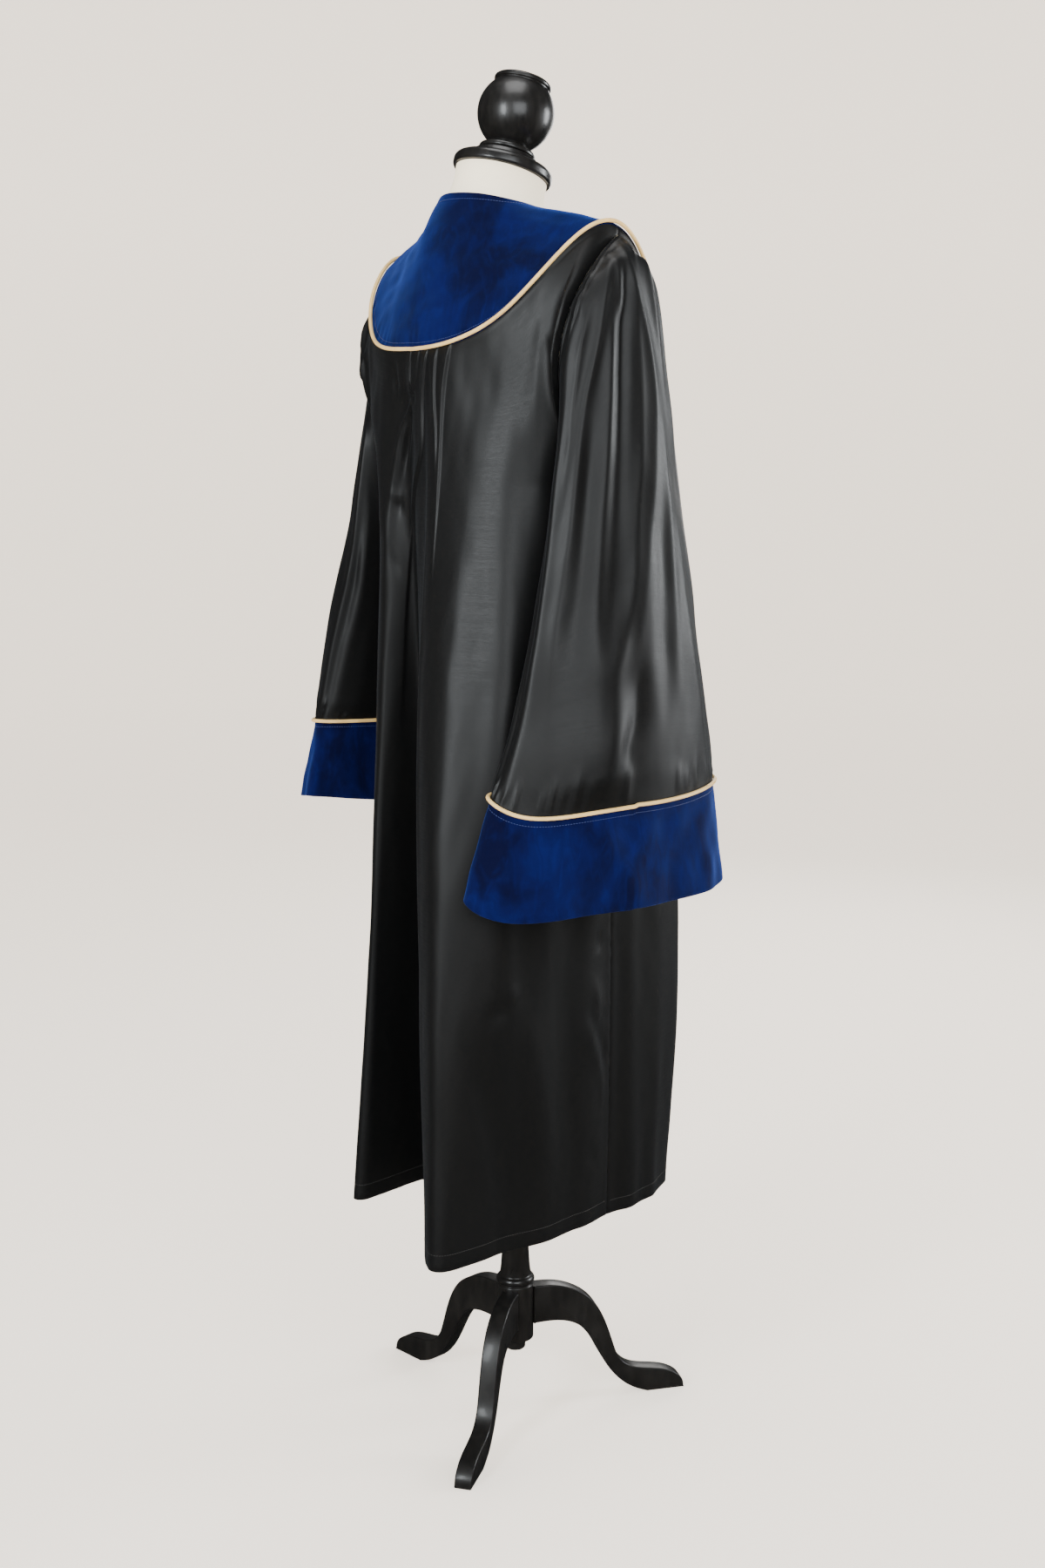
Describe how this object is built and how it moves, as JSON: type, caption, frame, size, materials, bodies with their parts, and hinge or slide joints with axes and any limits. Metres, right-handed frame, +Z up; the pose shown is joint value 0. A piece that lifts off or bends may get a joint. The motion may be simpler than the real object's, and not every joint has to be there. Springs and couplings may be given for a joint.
{
  "type": "judicial robe on dress form",
  "caption": "Black satin judicial robe with velvet yoke, piped bell cuffs and pleated back, standing on a limbless dress form with a tripod stand",
  "frame": {"origin": "on the floor under the middle of the whole part's bounding box", "axes": "+Z up, the garment's front looks along -Y, the wearer's left is +X"},
  "size_m": [0.5808, 0.4656, 1.6721],
  "materials": {
    "black_satin": "heavy polyester satin, cool grey sheen along the folds",
    "blue_velvet": "short-pile royal blue velvet with nap marks",
    "gold_piping": "pale gold satin cord",
    "cream_jersey": "matte cream stretch jersey",
    "black_lacquer": "turned wood in semi-gloss black lacquer",
    "zip_tape": "woven black tape",
    "zip_metal": "dark antique brass"
  },
  "bodies": {
    "dressed_form": {"back_panel": "black_satin", "cuff_left": "blue_velvet", "cuff_piping_left": "gold_piping", "cuff_piping_right": "gold_piping", "cuff_right": "blue_velvet", "finial": "black_lacquer", "form_torso": "cream_jersey", "front_left": "black_satin", "front_right": "black_satin", "leg_left": "black_lacquer", "leg_near": "black_lacquer", "leg_right": "black_lacquer", "neck_cap": "black_lacquer", "sleeve_left": "black_satin", "sleeve_right": "black_satin", "stand_post": "black_lacquer", "yoke": "blue_velvet", "yoke_piping": "gold_piping", "zip_slider": "zip_metal", "zip_tape": "zip_tape"},
    "zip_pull_tab": {"zip_pull": "zip_metal"}
  },
  "joints": [
    {"name": "pull_swing", "type": "hinge", "parent": "dressed_form", "child": "zip_pull_tab", "pos_m": [-0.00496, -0.07879, 1.47265], "axis": [-1, 0, 0], "range_deg": [0, 150]}
  ]
}
